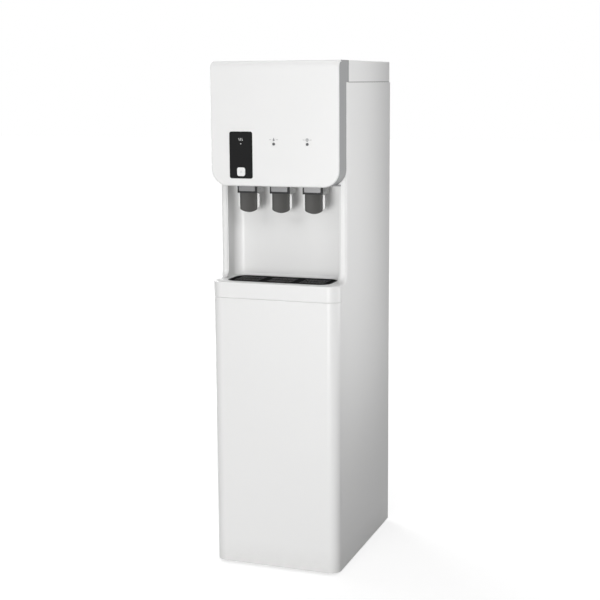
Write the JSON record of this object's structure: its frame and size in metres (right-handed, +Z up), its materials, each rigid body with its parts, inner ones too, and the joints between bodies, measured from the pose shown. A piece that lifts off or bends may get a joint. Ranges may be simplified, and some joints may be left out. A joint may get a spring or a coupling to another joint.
{
  "type": "water cooler",
  "caption": "Free-standing piped-in water cooler: paddle taps for hot, normal and cold water in an alcove over a lift-out drip tray, with filters behind the lower front.",
  "frame": {"origin": "middle of the cabinet's footprint on the floor", "axes": "+Z up, -Y to the front where the user stands, +X to the right seen from the front"},
  "size_m": [0.29, 0.39, 1.11],
  "materials": {
    "white_shell": "white moulded plastic, satin gloss",
    "grey_shell": "silver-grey moulded plastic",
    "white_trim": "white glossy plastic",
    "black_plastic": "black plastic, fine grain",
    "black_window": "black gloss window",
    "dark_pad": "dark grey glossy plastic",
    "bright_trim": "bright plated trim",
    "light_lens": "clear light pipe",
    "steel": "drawn stainless steel",
    "copper": "bare copper tube",
    "black_metal": "black paint on steel",
    "zinc_sheet": "zinc-coated sheet",
    "foam": "expanded foam",
    "board": "circuit board",
    "clear_tube": "milky plastic tube",
    "blue_fitting": "pale plastic fitting",
    "black_rubber": "rubber"
  },
  "bodies": {
    "cabinet": {"alcove_liner": "white_shell", "band_heater": "steel", "base_tray": "zinc_sheet", "cold_tank": "steel", "cold_tank_lid": "clear_tube", "compressor": "black_metal", "compressor_mounts": "black_rubber", "condenser": "black_metal", "control_board": "board", "cord_gland": "black_plastic", "dispense_valves": "blue_fitting", "display_window": "black_window", "drain_spigot": "blue_fitting", "drip_ledge": "white_shell", "evaporator": "copper", "feet": "black_rubber", "filter_head": "blue_fitting", "head_front_panel": "white_shell", "head_housing": "grey_shell", "hot_tank": "steel", "indicator_lights": "light_lens", "inlet_fitting": "blue_fitting", "inlet_valve": "blue_fitting", "inner_partition": "zinc_sheet", "insulation_cap": "foam", "lever_switches": "black_plastic", "mid_shelf": "zinc_sheet", "power_box": "zinc_sheet", "rear_panel": "zinc_sheet", "rear_screws": "steel", "refrigerant_lines": "copper", "side_panel_left": "white_shell", "side_panel_right": "white_shell", "spout_plates": "bright_trim", "switch_housing": "black_plastic", "tank_insulation": "foam", "tap_pins": "steel", "tap_spouts": "black_plastic", "top_cover": "white_shell", "upper_shelf": "white_shell", "water_tubes": "clear_tube"},
    "lever_hot": {"tap_lever_hot": "white_trim", "lever_pad_hot": "dark_pad"},
    "plunger_hot": {"switch_plunger_hot": "black_plastic"},
    "lever_normal": {"tap_lever_normal": "white_trim", "lever_pad_normal": "dark_pad"},
    "plunger_normal": {"switch_plunger_normal": "black_plastic"},
    "lever_cold": {"tap_lever_cold": "white_trim", "lever_pad_cold": "dark_pad"},
    "plunger_cold": {"switch_plunger_cold": "black_plastic"},
    "lock_button": {"lock_button": "white_trim"},
    "lower_front_panel": {"lower_front_panel": "white_shell"},
    "drip_tray": {"drip_tray": "black_plastic"},
    "drip_grille": {"drip_grille": "black_plastic"},
    "sediment_filter": {"sediment_filter": "white_trim"},
    "carbon_filter": {"carbon_filter": "white_trim"},
    "polishing_filter": {"polishing_filter": "white_trim"},
    "drain_cap": {"drain_cap": "black_plastic"},
    "switch_rocker": {"switch_rocker": "black_plastic"},
    "float_arm": {"float_arm": "blue_fitting"}
  },
  "joints": [
    {"name": "lever_hot_swing", "type": "hinge", "parent": "cabinet", "child": "lever_hot", "pos_m": [-0.075, -0.131, 0.838], "axis": [1, 0, 0], "range_deg": [0, 8], "stiffness_Nm_per_rad": 0.5, "springref_deg": -5.73},
    {"name": "plunger_hot_slide", "type": "slide", "parent": "cabinet", "child": "plunger_hot", "axis": [0, -1, 0], "range_m": [0, 0.0024]},
    {"name": "lever_normal_swing", "type": "hinge", "parent": "cabinet", "child": "lever_normal", "pos_m": [0, -0.131, 0.838], "axis": [1, 0, 0], "range_deg": [0, 8], "stiffness_Nm_per_rad": 0.5, "springref_deg": -5.73},
    {"name": "plunger_normal_slide", "type": "slide", "parent": "cabinet", "child": "plunger_normal", "axis": [0, -1, 0], "range_m": [0, 0.0024]},
    {"name": "lever_cold_swing", "type": "hinge", "parent": "cabinet", "child": "lever_cold", "pos_m": [0.075, -0.131, 0.838], "axis": [1, 0, 0], "range_deg": [0, 8], "stiffness_Nm_per_rad": 0.5, "springref_deg": -5.73},
    {"name": "plunger_cold_slide", "type": "slide", "parent": "cabinet", "child": "plunger_cold", "axis": [0, -1, 0], "range_m": [0, 0.0024]},
    {"name": "lock_button_press", "type": "slide", "parent": "cabinet", "child": "lock_button", "axis": [0, 1, 0], "range_m": [0, 0.0015], "stiffness_N_per_m": 800, "springref_m": -0.001},
    {"name": "front_panel_pull", "type": "slide", "parent": "cabinet", "child": "lower_front_panel", "axis": [0, -1, 0], "range_m": [0, 0.1]},
    {"name": "drip_tray_lift", "type": "slide", "parent": "cabinet", "child": "drip_tray", "axis": [0, 0, 1], "range_m": [0, 0.06]},
    {"name": "drip_grille_lift", "type": "slide", "parent": "drip_tray", "child": "drip_grille", "axis": [0, 0, 1], "range_m": [0, 0.04]},
    {"name": "sediment_filter_twist", "type": "hinge", "parent": "cabinet", "child": "sediment_filter", "pos_m": [-0.08, -0.119, 0.4], "axis": [0, 0, 1], "range_deg": [0, 90]},
    {"name": "carbon_filter_twist", "type": "hinge", "parent": "cabinet", "child": "carbon_filter", "pos_m": [0, -0.119, 0.4], "axis": [0, 0, 1], "range_deg": [0, 90]},
    {"name": "polishing_filter_twist", "type": "hinge", "parent": "cabinet", "child": "polishing_filter", "pos_m": [0.08, -0.119, 0.4], "axis": [0, 0, 1], "range_deg": [0, 90]},
    {"name": "drain_cap_pull", "type": "slide", "parent": "cabinet", "child": "drain_cap", "axis": [0, 1, 0], "range_m": [0, 0.025]},
    {"name": "power_rocker_tilt", "type": "hinge", "parent": "cabinet", "child": "switch_rocker", "pos_m": [0, 0.1645, 0.25], "axis": [1, 0, 0], "range_deg": [-16, 0]},
    {"name": "float_swing", "type": "hinge", "parent": "cabinet", "child": "float_arm", "pos_m": [-0.045, 0.045, 1.012], "axis": [0, 1, 0], "range_deg": [0, 25]}
  ],
  "couplings": [
    {"joint": "plunger_hot_slide", "follows": "lever_hot_swing", "m_per_rad": 0.017},
    {"joint": "plunger_normal_slide", "follows": "lever_normal_swing", "m_per_rad": 0.017},
    {"joint": "plunger_cold_slide", "follows": "lever_cold_swing", "m_per_rad": 0.017}
  ]
}
